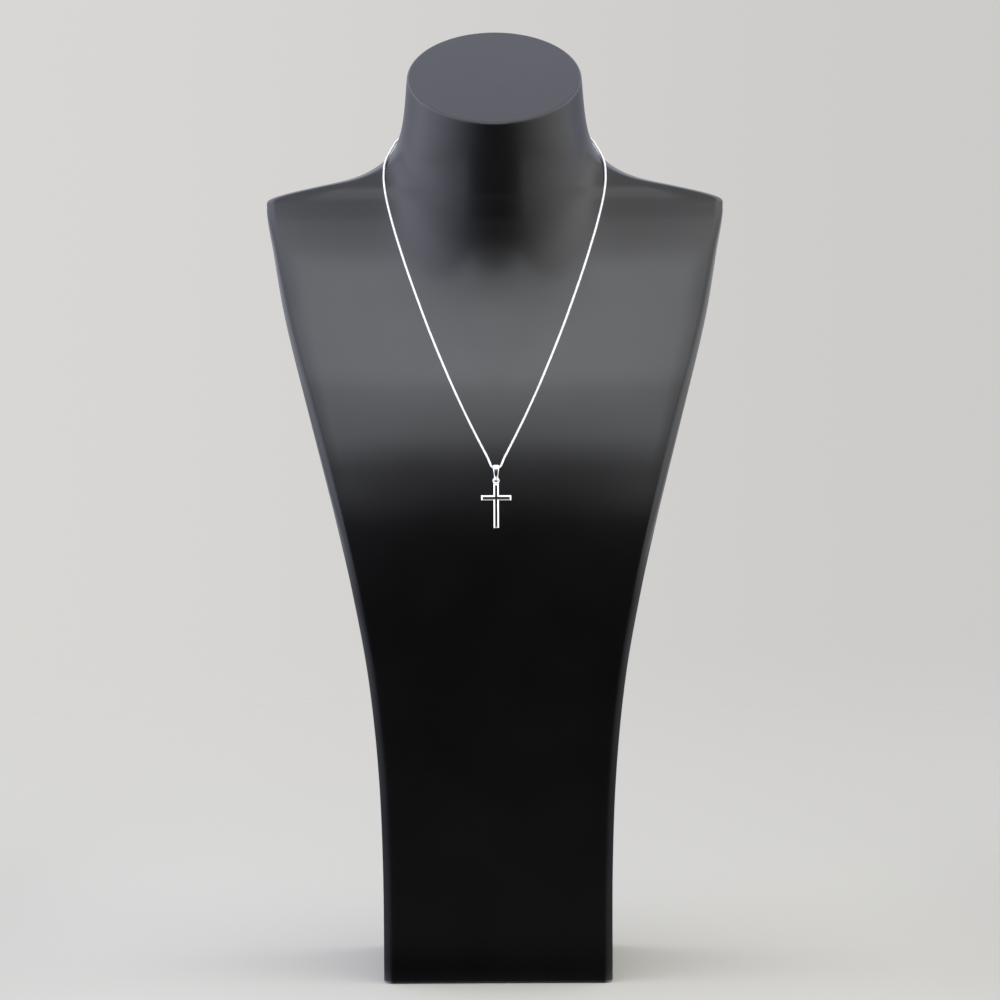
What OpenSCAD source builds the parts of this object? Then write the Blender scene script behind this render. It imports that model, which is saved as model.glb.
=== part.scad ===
// Cross pendant necklace hanging on a plain neck bust.
// Millimetres, +Z up, the front of the bust faces -Y.
// The origin is the middle of the foot's bottom face.

/* [Neck bust] */
// Width of the foot
foot_w = 119; // [116:0.2:122]
// Width across the shoulders
shoulder_w = 240.6; // [239:0.2:243]
// Width of the neck at its top
neck_w = 92.8; // [90:0.2:94]
// Depth of the neck at its top
neck_depth = 95; // [92:0.5:97]
// Height of the slanting top at the neck's axis
neck_top = 472.5; // [468:0.5:476]
// Slope of the slanting top, in degrees
neck_slant = 29; // [26:0.5:32]
// Radius of the edge round the slanting top
top_edge = 1.2; // [0.6:0.1:2]
// Radius of the edge round the foot
foot_edge = 1.5; // [0.6:0.1:3]
// Radius of the upright edges along both sides
side_edge = 5; // [3:0.5:7]

/* [Chain] */
// Thickness of the chain
chain_d = 1.1; // [1:0.05:1.3]
// Gap between the chain and what it lies on
seat_gap = 0.3; // [0.2:0.05:0.5]
// Height of the chain's lowest point, inside the bail
drop_z = 268.5; // [266:0.5:270]
// Distance of the hanging drop in front of the foot's middle
drop_front = 45.6; // [45.4:0.1:47]
// Height at which the chain leaves the chest on its way to the drop
release_z = 293; // [288:1:300]

/* [Clasp] */
// Outside diameter of the spring ring
clasp_d = 5.4; // [5:0.1:6]
// Thickness of the spring ring's wire
clasp_wire = 0.8; // [0.7:0.05:0.9]
// Outside diameter of the small eye on its side
clasp_eye_d = 2.2; // [2:0.1:2.6]

/* [Bail] */
// Width of the bail at its top
bail_w = 3.3; // [3.1:0.1:3.5]
// Width of the strip at its bottom, inside the ring
bail_low_w = 1; // [0.9:0.05:1.1]
// Thickness of its silver
bail_sheet = 0.45; // [0.4:0.05:0.5]
// Depth of its hollow at its middle, from front to back
bail_hollow = 2.5; // [2.2:0.1:2.8]

/* [Cross] */
// Height of the cross without its ring
cross_h = 22.9; // [20:0.1:24]
// Width across the arms
cross_w = 15.5; // [14:0.1:18]
// Width of the bars
bar_w = 2.7; // [2.5:0.1:3.2]
// Thickness of the bars
bar_t = 1.8; // [1.6:0.1:2]
// Distance from the top of the cross to the middle of its arms
arm_drop = 7.3; // [6:0.1:9]
// Width of the bevel along each front edge
bevel_w = 0.7; // [0.5:0.05:0.9]
// Depth of that bevel
bevel_depth = 0.55; // [0.3:0.05:0.7]
// Outside diameter of the ring on top
ring_d = 3.7; // [3.6:0.1:4]
// Thickness of the ring's wire
ring_wire = 1.1; // [1:0.05:1.2]
// Distance from the chain's lowest point down to the ring's middle
ring_drop = 7; // [6.8:0.1:7.5]

/* [Hidden] */
$fn = 48;
// How far a shape that only trims another one reaches past it
spare = 1;

// Sections of the bust, one row each from the foot up. A section blends a panel with
// round corners and the neck's round column.
HEIGHT = 0;
HALF_W = 1;
FRONT = 2;
BACK = 3;
// How far the sides of the front fall back behind its middle
CROWN = 4;
// Half the column's width
COLUMN = 5;
// How far the panel lies behind the column's front, and before its back
SET_BACK = 6;
neck_front = -16.5;
neck_back = neck_front + neck_depth;
neck_axis = (neck_front + neck_back) / 2;
bust_rows = [
    [0, foot_w / 2, -48.5, 60, 0, 0, 0],
    [60, foot_w / 2 + 0.3, -47, 60, 0, 0, 0],
    [110, 61.8, -46.1, 60.5, 0, 0, 0],
    [160, 66.9, -45.5, 61, 0, 0, 0],
    [205, 75, -45, 62.5, 0.4, 0, 0],
    [240, 82.9, -44.2, 65, 1.4, 0, 0],
    [265, 89.2, -42, 67, 2.9, 0, 0],
    [285, 94.4, -39, 69, 3.9, 0, 0],
    [310, 101, -33.8, 72, 5, 0, 0],
    [330, 106.3, -27.7, 74.2, 5, 15, 0.8],
    [350, 111.1, -22.1, 76, 4.5, 42, 3],
    [365, 114, -19.2, 77.2, 4.2, 50, 5.8],
    [380, 116.6, -17.45, 78, 4, 50, 10.2],
    [395, 119.6, -16.72, 78.5, 3.4, 50, 17],
    [403, shoulder_w / 2, -16.6, 78.8, 3, 50, 21.4],
    [407, shoulder_w / 2 - 0.9, -16.55, 78.9, 2.8, 50, 23.6],
    [410, 111.9, -16.5, 79, 2.5, 50, 25],
    [414, 95.7, -16.5, 79, 2, 50, 26.8],
    [418, 77.9, -16.5, 79, 1.5, 50, 29],
    [422, 67.3, -16.5, 79, 1, 50, 31.2],
    [428, 58.4, -16.5, 79, 0.4, 50, 34.2],
    [436, 52.5, -16.5, 79, 0, 50, 37.5],
    [448, 48.9, -16.5, 78.8, 0, 48.9, 43],
    [neck_top, neck_w / 2, neck_front, neck_back, 0, neck_w / 2, 46],
];
row_count = len(bust_rows);
// How sharply panel and column meet: the higher, the narrower the hollow between them
blend = 5;
// The least a column's half width and a panel's half depth are drawn with
thin_column = 0.01;
thin_panel = 1;
rings_per_row = 2;
// Points of a quarter of a ring, and how many lie along the side and round the corner
quarter_sides = 18;
side_points = 2;
corner_points = 4;
// How soon a ring's points leave the panel's corner where the column takes over
evenness = 8;
edge_steps = 3;
// Step, in degrees and millimetres, over which the skin's slope is measured
slope_step = 0.05;
// Rings tilt from this height up, until they reach the slanting top
tilt_start = 400;
// How often the search for an angle halves its range
halvings = 24;

chain_r = chain_d / 2;
chain_sides = 8;
chain_rings_per_row = 2;
// Turn of the chain under the bail: a straight half, then an arc on each side
turn_half = 1.2;
turn_r = 1.6;
turn_angle = 60;
turn_steps = 3;
// How far the turn comes back towards the chest on each side
turn_back = 0.1;
// Rows of the chain's right half up the chest: distance from the middle, height and
// how far the taut chain stands off the curve of the skin
chest_rows = [
    [4.1, 272.8, 0],
    [10, 284, 0],
    [16, 296, 0],
    [22.5, 310, 0],
    [28.6, 324, 0],
    [34.7, 339, 0],
    [40.3, 354, 0],
    [46, 370, 0.04],
    [50.9, 385, 0.08],
    [53.6, 394, 0.16],
    [56, 403, 0.2],
    [57.4, 410, 0.38],
    [58.2, 416, 0.52],
    [58.3, 420.8, 0.5],
];
// Rows behind them, round the neck: angle from the side to the back, height and
// how far the chain stands off the curve of the skin
nape_rows = [
    [-15.87, 425, 0.15],
    [-13.8, 427.3, 0.12],
    [-10, 429.4, 0.15],
    [-5, 431.4, 0.3],
    [2.5, 434, 0.2],
    [10, 436.6, 0.25],
    [20, 439.2, 0.3],
    [32, 441.6, 0.38],
    [47, 443.8, 0.3],
    [64, 445.5, 0.4],
];
nape_z = 446.5;
nape_lift = 0.42;

clasp_hoop_r = (clasp_d - clasp_wire) / 2;
clasp_eye_wire = 0.55;
clasp_eye_r = (clasp_eye_d - clasp_eye_wire) / 2;
solder = 0.2;
clasp_half = (clasp_d + clasp_eye_d - solder) / 2;
clasp_gap = 0.2;

ring_z = drop_z - ring_drop;
ring_r = (ring_d - ring_wire) / 2;
ring_hole_r = ring_r - ring_wire / 2;
bail_chain_gap = 0.45;
loop_steps = 48;
// How full the oval of the bail's side view is: 2 would be an ellipse
oval_fullness = 2.4;
bail_top_z = drop_z + chain_r + bail_chain_gap;
// The strip under the ring's wire clears the round of its hole at both edges
bail_ring_gap = 0.08;
strip_top_z = ring_z + sqrt(pow(ring_hole_r, 2) - pow(bail_low_w / 2, 2)) - bail_ring_gap;
// Outline of the bail from the front: a crown with cut corners, sides that lean in
// to a waist above the ring, then the narrow strip
bail_corner = [0.25, 0.45];
bail_side = [0.1, 0.6];
bail_waist_w = 2.15;
bail_waist_z = ring_z + ring_d / 2 + 0.4;

ring_sunk = 0.35;
cross_top_z = ring_z - ring_d / 2 + ring_sunk;
cross_low_z = cross_top_z - cross_h;
arm_z = cross_top_z - arm_drop;
back_bevel = 0.2;

function unit(v) = v / norm(v);

// Points on a smooth curve through the rows, a few for each pair of rows
function between(a, b, c, d, t) =
    0.5 * (2 * b + (c - a) * t + (2 * a - 5 * b + 4 * c - d) * t * t + (3 * b - a - 3 * c + d) * t * t * t);
function smooth_rows(rows, steps) =
    let (last = len(rows) - 1)
    [
        for (i = [0:last - 1])
            for (k = [0:steps - 1])
                let (before = i > 0 ? rows[i - 1] : 2 * rows[0] - rows[1])
                let (after = i + 2 <= last ? rows[i + 2] : 2 * rows[last] - rows[last - 1])
                between(before, rows[i], rows[i + 1], after, k / steps),
        rows[last],
    ];

// Section of the bust at any height: a row worked out between its neighbours
function row_below(z, i = 0) =
    i >= row_count - 2 || bust_rows[i + 1][HEIGHT] > z ? i : row_below(z, i + 1);
function row_slope(i) =
    let (a = max(i - 1, 0))
    let (b = min(i + 1, row_count - 1))
    (bust_rows[b] - bust_rows[a]) / (bust_rows[b][HEIGHT] - bust_rows[a][HEIGHT]);
function section_at(z) =
    let (i = row_below(z))
    let (span = bust_rows[i + 1][HEIGHT] - bust_rows[i][HEIGHT])
    let (t = (z - bust_rows[i][HEIGHT]) / span)
    let (t2 = t * t)
    let (t3 = t2 * t)
    (2 * t3 - 3 * t2 + 1) * bust_rows[i] + (t3 - 2 * t2 + t) * span * row_slope(i)
        + (3 * t2 - 2 * t3) * bust_rows[i + 1] + (t3 - t2) * span * row_slope(i + 1);

function ring_tilt(z) =
    tan(neck_slant) * pow(max(z - tilt_start, 0) / (neck_top - tilt_start), 2);

// How far a panel with round corners reaches from its middle in the direction [c, s]
function panel_reach(half_w, half_d, c, s) =
    let (edge = min(side_edge, half_w, half_d))
    let (x = half_w - edge)
    let (y = half_d - edge)
    half_d * c <= x * s ? half_d / s
        : half_w * s <= y * c ? half_w / c
        : c * x + s * y + sqrt(edge * edge - pow(c * y - s * x, 2));
// What blends with the part to give the whole
function remainder(whole, part) =
    pow(max(pow(whole, blend) - pow(part, blend), pow(thin_column, blend)), 1 / blend);

// Point of the bust's skin at a height and an angle: 0 is +X and -90 the front
function skin(z, angle, inset = 0) =
    let (row = section_at(z))
    let (half_w = row[HALF_W])
    let (half_d = (row[BACK] - row[FRONT]) / 2)
    let (c = abs(cos(angle)))
    let (s = abs(sin(angle)))
    let (column_w = min(max(row[COLUMN], thin_column), half_w))
    let (panel_d = min(max(half_d - row[SET_BACK], thin_panel), half_d))
    let (column = 1 / norm([c / column_w, s / remainder(half_d, panel_d)]))
    let (panel = panel_reach(remainder(half_w, column_w), panel_d, c, s))
    let (reach = pow(pow(column, blend) + pow(panel, blend), 1 / blend) - inset)
    let (x = reach * cos(angle))
    let (v = reach * sin(angle))
    let (fall = max(-v / half_d, 0) * row[CROWN] * pow(x / half_w, 2))
    let (y = (row[FRONT] + row[BACK]) / 2 + v + fall)
    [x, y, z + ring_tilt(z) * (y - neck_axis)];
function skin_normal(z, angle) =
    let (e = slope_step)
    unit(cross(skin(z, angle + e) - skin(z, angle - e), skin(z + e, angle) - skin(z - e, angle)));

// Angle at which the front of the bust is x away from its middle
function angle_at(x, z, low = -90, high = 0, left = halvings) =
    let (half_way = (low + high) / 2)
    left == 0 ? half_way
        : skin(z, half_way)[0] < x ? angle_at(x, z, half_way, high, left - 1)
        : angle_at(x, z, low, half_way, left - 1);

// Angles of a ring's points in one quarter: few along the side, more round the corner
// and the rest across the front
function quarter_angles(z) =
    let (row = section_at(z))
    let (panel_d = (row[BACK] - row[FRONT]) / 2 - row[SET_BACK])
    let (round_share = pow(min(row[COLUMN] / row[HALF_W], 1), evenness))
    let (corner_from = atan2(max(panel_d - side_edge, 0), row[HALF_W]))
    let (corner_to = atan2(panel_d, row[HALF_W] - side_edge))
    let (even_from = 90 * side_points / quarter_sides)
    let (even_to = 90 * (side_points + corner_points) / quarter_sides)
    let (stops = [
        [0, 0],
        [side_points, corner_from + (even_from - corner_from) * round_share],
        [side_points + corner_points, corner_to + (even_to - corner_to) * round_share],
        [quarter_sides, 90],
    ])
    [for (i = [0:quarter_sides - 1]) lookup(i, stops)];
function bust_ring(z, inset = 0) =
    let (quarter = quarter_angles(z))
    let (half = concat(quarter, [90], [for (i = [quarter_sides - 1:-1:1]) 180 - quarter[i]]))
    [for (turn = [0, 180]) for (angle = half) skin(z, angle + turn, inset)];
row_heights = [
    for (i = [0:row_count - 2])
        for (k = [0:rings_per_row - 1])
            let (from = i > 0 ? bust_rows[i][HEIGHT] : foot_edge)
            let (to = i < row_count - 2 ? bust_rows[i + 1][HEIGHT] : neck_top - top_edge)
            from + (to - from) * k / rings_per_row,
    neck_top - top_edge,
];
foot_rings = [
    for (k = [0:edge_steps - 1])
        let (turn = 90 * k / edge_steps)
        bust_ring(foot_edge * (1 - cos(turn)), foot_edge * (1 - sin(turn)))
];
top_rings = [
    for (k = [1:edge_steps])
        let (turn = 90 * k / edge_steps)
        bust_ring(neck_top - top_edge * (1 - sin(turn)), top_edge * (1 - cos(turn)))
];

// The same points on the other side of the middle, in reverse order
function mirrored(points) = [
    for (i = [len(points) - 1:-1:0])
        [for (k = [0:len(points[i]) - 1]) k == 0 ? -points[i][k] : points[i][k]]
];

// Points and faces of a skin laid over rings of equally many points, with a point
// in the middle of each end
function joined(lists) = [for (list = lists) for (item = list) item];
function middle(ring) = [for (i = [0:len(ring) - 1]) 1] * ring / len(ring);
function skin_points(rings) =
    concat(joined(rings), [middle(rings[0]), middle(rings[len(rings) - 1])]);
function skin_faces(rings) =
    let (sides = len(rings[0]))
    let (last = len(rings) - 1)
    let (first_middle = (last + 1) * sides)
    [
        for (i = [0:sides - 1])
            let (j = (i + 1) % sides)
            each [
                [j, first_middle, i],
                [last * sides + i, first_middle + 1, last * sides + j],
                for (r = [0:last - 1])
                    each [
                        [r * sides + i, (r + 1) * sides + i, (r + 1) * sides + j],
                        [r * sides + i, (r + 1) * sides + j, r * sides + j],
                    ],
            ],
    ];

module neck_bust() {
    rings = concat(foot_rings, [for (z = row_heights) bust_ring(z)], top_rings);
    color([0.03, 0.03, 0.035])
        polyhedron(points = skin_points(rings), faces = skin_faces(rings), convexity = 6);
}

// The chain leaves the chest near the drop, which holds it forward
drop_y = -drop_front;
drop_lift = skin(drop_z, -90)[1] - chain_r - seat_gap - drop_y;
function lift_at(z) =
    z < release_z ? drop_lift * pow((release_z - z) / (release_z - drop_z), 2) : 0;
function on_skin(angle, z, stand_off) =
    skin(z, angle) + skin_normal(z, angle) * (chain_r + seat_gap + stand_off) + [0, -lift_at(z), 0];

turn_points = [
    for (k = [0:turn_steps])
        let (turn = turn_angle * k / turn_steps)
        let (back = turn_back * k / turn_steps)
        [turn_half + turn_r * sin(turn), drop_y + back, drop_z + turn_r * (1 - cos(turn))]
];
nape_angle = -angle_at(clasp_half + clasp_gap, nape_z);
hung_rows = concat(
    [for (row = chest_rows) [angle_at(row[0], row[1]), row[1], row[2]]],
    nape_rows,
    [[nape_angle, nape_z, nape_lift]]
);
hung_points =
    smooth_rows([for (row = hung_rows) on_skin(row[0], row[1], row[2])], chain_rings_per_row);
right_half = concat(turn_points, hung_points);
chain_route = concat(mirrored(right_half), right_half);
nape_point = chain_route[0];

function tube_ring(route, i, radius, sides) =
    let (ahead = route[min(i + 1, len(route) - 1)])
    let (behind = route[max(i - 1, 0)])
    let (along = unit(ahead - behind))
    let (outward = [route[i][0], route[i][1] - neck_axis, 0])
    let (across = unit(cross(along, outward)))
    let (out = cross(across, along))
    [
        for (k = [0:sides - 1])
            let (turn = 360 * (k + 0.5) / sides)
            route[i] + radius * (out * cos(turn) + across * sin(turn))
    ];

module chain() {
    rings = [for (i = [0:len(chain_route) - 1]) tube_ring(chain_route, i, chain_r, chain_sides)];
    color([0.85, 0.86, 0.87])
        polyhedron(points = skin_points(rings), faces = skin_faces(rings), convexity = 8);
}

module hoop(middle_r, wire) {
    rotate([90, 0, 0])
        rotate_extrude()
            translate([middle_r, 0])
                circle(d = wire);
}

module clasp() {
    color([0.82, 0.83, 0.84])
        translate([0, nape_point[1], nape_point[2]]) {
            translate([clasp_half - clasp_d / 2, 0, 0])
                hoop(clasp_hoop_r, clasp_wire);
            translate([clasp_eye_d / 2 - clasp_half, 0, 0])
                hoop(clasp_eye_r, clasp_eye_wire);
        }
}

// A full oval seen from the side, between two heights
function oval(half_d, low_z, top_z) =
    let (half_h = (top_z - low_z) / 2)
    [
        for (k = [0:loop_steps - 1])
            let (turn = 360 * k / loop_steps)
            let (c = cos(turn))
            let (s = sin(turn))
            [
                half_d * sign(c) * pow(abs(c), 2 / oval_fullness),
                low_z + half_h + half_h * sign(s) * pow(abs(s), 2 / oval_fullness),
            ]
    ];

// Lays a drawing of y and z across the whole width, centred on x = 0
module across_width(width) {
    rotate([90, 0, 90])
        linear_extrude(height = width, center = true)
            children();
}

module bail_side_view() {
    difference() {
        polygon(oval(bail_hollow / 2 + bail_sheet, strip_top_z - bail_sheet, bail_top_z + bail_sheet));
        polygon(oval(bail_hollow / 2, strip_top_z, bail_top_z));
    }
}

module bail_front_view() {
    top_z = bail_top_z + bail_sheet;
    low_z = strip_top_z - bail_sheet;
    right_side = [
        [bail_w / 2 - bail_corner[0], top_z + spare],
        [bail_w / 2 - bail_corner[0], top_z],
        [bail_w / 2, top_z - bail_corner[1]],
        [bail_w / 2 - bail_side[0], drop_z - bail_side[1]],
        [bail_waist_w / 2, bail_waist_z],
        [bail_low_w / 2, ring_z + ring_hole_r],
        [bail_low_w / 2, low_z - spare],
    ];
    polygon(concat(right_side, mirrored(right_side)));
}

module bail() {
    color([0.88, 0.89, 0.9])
        translate([0, drop_y, 0])
            intersection() {
                across_width(bail_w + spare)
                    bail_side_view();
                rotate([90, 0, 0])
                    linear_extrude(height = 2 * (bail_hollow + bail_sheet), center = true)
                        bail_front_view();
            }
}

// Section through a bar or along it: wide bevels in front, small ones behind
module bevelled(low, high) {
    front = -bar_t / 2;
    back = bar_t / 2;
    polygon([
        [low, front + bevel_depth],
        [low + bevel_w, front],
        [high - bevel_w, front],
        [high, front + bevel_depth],
        [high, back - back_bevel],
        [high - back_bevel, back],
        [low + back_bevel, back],
        [low, back - back_bevel],
    ]);
}

module upright() {
    intersection() {
        translate([0, 0, cross_low_z - spare])
            linear_extrude(height = cross_h + 2 * spare)
                bevelled(-bar_w / 2, bar_w / 2);
        across_width(bar_w + spare)
            rotate(90)
                mirror([0, 1])
                    bevelled(cross_low_z, cross_top_z);
    }
}

module arms() {
    intersection() {
        across_width(cross_w + spare)
            rotate(90)
                mirror([0, 1])
                    bevelled(arm_z - bar_w / 2, arm_z + bar_w / 2);
        translate([0, 0, arm_z - bar_w])
            linear_extrude(height = 2 * bar_w)
                bevelled(-cross_w / 2, cross_w / 2);
    }
}

module cross_piece() {
    color([0.8, 0.81, 0.83])
        translate([0, drop_y, 0]) {
            upright();
            arms();
            translate([0, 0, ring_z])
                hoop(ring_r, ring_wire);
        }
}

neck_bust();
chain();
clasp();
bail();
cross_piece();  // cross
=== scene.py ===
# %% [markdown]
# # A cross pendant on a neck bust
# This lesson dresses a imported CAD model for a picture. The object is a fine silver box chain with a
# small bevelled cross, worn by a plain black bust with a slanting neck. The CAD pieces fix every size
# and every joint, so each piece made here is drawn on the same places and takes over from its plain
# solid.

import math

import bmesh
import bpy
import numpy as np
from mathutils import Matrix, Vector


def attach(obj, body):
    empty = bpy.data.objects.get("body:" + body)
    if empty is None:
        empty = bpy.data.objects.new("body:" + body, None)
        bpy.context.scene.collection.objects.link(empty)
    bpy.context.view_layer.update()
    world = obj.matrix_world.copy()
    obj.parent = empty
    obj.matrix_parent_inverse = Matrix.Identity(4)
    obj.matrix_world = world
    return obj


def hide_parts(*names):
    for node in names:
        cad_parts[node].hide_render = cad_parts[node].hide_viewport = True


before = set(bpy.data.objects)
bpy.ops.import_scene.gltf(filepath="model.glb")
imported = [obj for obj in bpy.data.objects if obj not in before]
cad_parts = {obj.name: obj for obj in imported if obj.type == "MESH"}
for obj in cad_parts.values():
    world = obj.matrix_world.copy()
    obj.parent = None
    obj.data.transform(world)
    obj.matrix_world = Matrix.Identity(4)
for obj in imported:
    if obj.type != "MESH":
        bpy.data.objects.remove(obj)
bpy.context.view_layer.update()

# %% [markdown]
# ## The camera
# The bust was photographed from about two metres away with a long lens, a little below the height of
# its shoulders and tipped slightly down. A long lens keeps the sides of a tall object nearly parallel,
# which is why product pictures use one. The camera comes first, because it decides which side of each
# piece needs the most care.

# %% Camera
CAMERA_PLACE = (0.0, -1.95, 0.38)
TILT_DOWN = math.radians(3.858)
ROLL = math.radians(0.27)
SENSOR = 36.0
FOCAL = 133.3
SHIFT = 0.0038


def new_object(name, data):
    """A new object in the scene with this data."""
    made = bpy.data.objects.new(name, data)
    bpy.context.scene.collection.objects.link(made)
    return made


camera = new_object("camera", bpy.data.cameras.new("camera"))
camera.data.sensor_width = SENSOR
camera.data.lens = FOCAL
camera.data.shift_x = SHIFT
camera.matrix_world = (
    Matrix.Translation(CAMERA_PLACE)
    @ Matrix.Rotation(math.pi / 2 - TILT_DOWN, 4, "X")
    @ Matrix.Rotation(-ROLL, 4, "Z")
)
bpy.context.scene.camera = camera
bpy.context.scene.view_settings.view_transform = "Standard"
print("camera:", tuple(round(v, 3) for v in camera.location), "lens", camera.data.lens)

# %% [markdown]
# ## Two small helpers
# Every piece below ends as a mesh of points and faces, so one helper makes the object and turns its
# faces outwards. The drawing's measures are in millimetres, because jewellery is measured so, and the
# helper makes them metres. Most pieces are also a skin over a row of rings, like the hoops of a
# lantern, so the other helper joins each ring to the next.

# %% Helpers for meshes
MM = 0.001


def mesh_object(name, points, faces):
    """A smooth object in metres, from points in millimetres, with its faces turned outwards."""
    mesh = bpy.data.meshes.new(name)
    mesh.from_pydata([tuple(MM * np.asarray(point)) for point in points], [], faces)
    work = bmesh.new()
    work.from_mesh(mesh)
    bmesh.ops.recalc_face_normals(work, faces=work.faces)
    work.to_mesh(mesh)
    work.free()
    mesh.polygons.foreach_set("use_smooth", [True] * len(mesh.polygons))
    return new_object(name, mesh)


def ring_skin(rings, close_ends):
    """Points and faces of a skin over rings of equally many points."""
    sides = len(rings[0])
    count = len(rings)
    points = [point for ring in rings for point in ring]
    faces = []
    for r in range(count - 1 if close_ends else count):
        for i in range(sides):
            j = (i + 1) % sides
            after = (r + 1) % count
            faces.append((r * sides + i, r * sides + j, after * sides + j, after * sides + i))
    if close_ends:
        for ring in (0, count - 1):
            points.append(np.mean(rings[ring], axis=0))
            middle = len(points) - 1
            faces += [(ring * sides + i, middle, ring * sides + (i + 1) % sides) for i in range(sides)]
    return points, faces


print("helpers ready")

# %% [markdown]
# ## The bust's form
# A display bust like this is moulded in two half shells, filled, sanded and sprayed. Its form could be
# sculpted, but a shop display is designed with sections, as a boat's hull is, so it is drawn that way
# here: one row of numbers for each height, and smooth curves through them. Each section blends two
# shapes, a panel with round corners and the neck's round column. From the chest upwards the panel lies
# further and further behind the column's front, so the column seems to grow out of the chest. The same
# rows make the CAD solid, only with fewer points.

# %% The bust's sections
NECK_FRONT, NECK_BACK = -16.5, 78.5
NECK_AXIS = (NECK_FRONT + NECK_BACK) / 2
NECK_TOP = 472.5
NECK_SLANT = math.tan(math.radians(29))
TILT_START = 400.0
SIDE_EDGE = 5.0
BLEND = 5
THIN_COLUMN, THIN_PANEL = 0.01, 1.0
HEIGHT, HALF_W, FRONT, BACK, CROWN, COLUMN, SET_BACK = range(7)
BUST_ROWS = np.array([
    (0, 59.5, -48.5, 60, 0, 0, 0),
    (60, 59.8, -47, 60, 0, 0, 0),
    (110, 61.8, -46.1, 60.5, 0, 0, 0),
    (160, 66.9, -45.5, 61, 0, 0, 0),
    (205, 75, -45, 62.5, 0.4, 0, 0),
    (240, 82.9, -44.2, 65, 1.4, 0, 0),
    (265, 89.2, -42, 67, 2.9, 0, 0),
    (285, 94.4, -39, 69, 3.9, 0, 0),
    (310, 101, -33.8, 72, 5, 0, 0),
    (330, 106.3, -27.7, 74.2, 5, 15, 0.8),
    (350, 111.1, -22.1, 76, 4.5, 42, 3),
    (365, 114, -19.2, 77.2, 4.2, 50, 5.8),
    (380, 116.6, -17.45, 78, 4, 50, 10.2),
    (395, 119.6, -16.72, 78.5, 3.4, 50, 17),
    (403, 120.3, -16.6, 78.8, 3, 50, 21.4),
    (407, 119.4, -16.55, 78.9, 2.8, 50, 23.6),
    (410, 111.9, -16.5, 79, 2.5, 50, 25),
    (414, 95.7, -16.5, 79, 2, 50, 26.8),
    (418, 77.9, -16.5, 79, 1.5, 50, 29),
    (422, 67.3, -16.5, 79, 1, 50, 31.2),
    (428, 58.4, -16.5, 79, 0.4, 50, 34.2),
    (436, 52.5, -16.5, 79, 0, 50, 37.5),
    (448, 48.9, -16.5, 78.8, 0, 48.9, 43),
    (NECK_TOP, 46.4, NECK_FRONT, NECK_BACK, 0, 46.4, 46),
])
heights = BUST_ROWS[:, HEIGHT]
slopes = np.empty_like(BUST_ROWS)
for i in range(len(BUST_ROWS)):
    low, high = max(i - 1, 0), min(i + 1, len(BUST_ROWS) - 1)
    slopes[i] = (BUST_ROWS[high] - BUST_ROWS[low]) / (heights[high] - heights[low])


def section_at(z):
    """The row of numbers at a height, on the smooth curves through the rows."""
    i = int(np.clip(np.searchsorted(heights, z, side="right") - 1, 0, len(heights) - 2))
    span = heights[i + 1] - heights[i]
    t = (z - heights[i]) / span
    return (
        (2 * t**3 - 3 * t**2 + 1) * BUST_ROWS[i]
        + (t**3 - 2 * t**2 + t) * span * slopes[i]
        + (3 * t**2 - 2 * t**3) * BUST_ROWS[i + 1]
        + (t**3 - t**2) * span * slopes[i + 1]
    )


print("sections:", len(BUST_ROWS), "from", heights[0], "to", heights[-1], "mm")

# %% [markdown]
# A section's outline is found by its reach from the middle, direction by direction. The panel and the
# column each have a reach of their own, and a high power blends the two, so that the longer one wins
# and the change from one to the other stays smooth.

# %% The bust's skin
def panel_reach(half_w, half_d, c, s):
    """How far a panel with round corners reaches from its middle in the direction (c, s)."""
    edge = min(SIDE_EDGE, half_w, half_d)
    corner_x, corner_y = half_w - edge, half_d - edge
    if half_d * c <= corner_x * s:
        return half_d / s
    if half_w * s <= corner_y * c:
        return half_w / c
    return c * corner_x + s * corner_y + math.sqrt(edge**2 - (c * corner_y - s * corner_x) ** 2)


def remainder(whole, part):
    """What blends with the part to give the whole."""
    return max(whole**BLEND - part**BLEND, THIN_COLUMN**BLEND) ** (1 / BLEND)


def skin(z, angle, inset=0.0):
    """Point of the bust's skin at a height and an angle in radians: 0 is +X and -pi/2 the front."""
    row = section_at(z)
    half_w, half_d = row[HALF_W], (row[BACK] - row[FRONT]) / 2
    c, s = abs(math.cos(angle)), abs(math.sin(angle))
    column_w = min(max(row[COLUMN], THIN_COLUMN), half_w)
    panel_d = min(max(half_d - row[SET_BACK], THIN_PANEL), half_d)
    column_d = remainder(half_d, panel_d)
    column = 1 / math.hypot(c / column_w, s / column_d)
    panel = panel_reach(remainder(half_w, column_w), panel_d, c, s)
    reach = (column**BLEND + panel**BLEND) ** (1 / BLEND) - inset
    x, v = reach * math.cos(angle), reach * math.sin(angle)
    fall = max(-v / half_d, 0) * row[CROWN] * (x / half_w) ** 2
    y = (row[FRONT] + row[BACK]) / 2 + v + fall
    tilt = NECK_SLANT * (max(0.0, z - TILT_START) / (NECK_TOP - TILT_START)) ** 2
    return np.array((x, y, z + tilt * (y - NECK_AXIS)))


UP_STEP, TURN_STEP = 0.05, 0.001


def skin_normal(z, angle):
    """The direction straight out of the skin, from two short steps along it."""
    up = skin(z + UP_STEP, angle) - skin(z - UP_STEP, angle)
    around = skin(z, angle + TURN_STEP) - skin(z, angle - TURN_STEP)
    normal = np.cross(around, up)
    return normal / np.linalg.norm(normal)


print("front of the foot:", skin(0, -math.pi / 2).round(1), "mm")

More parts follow.
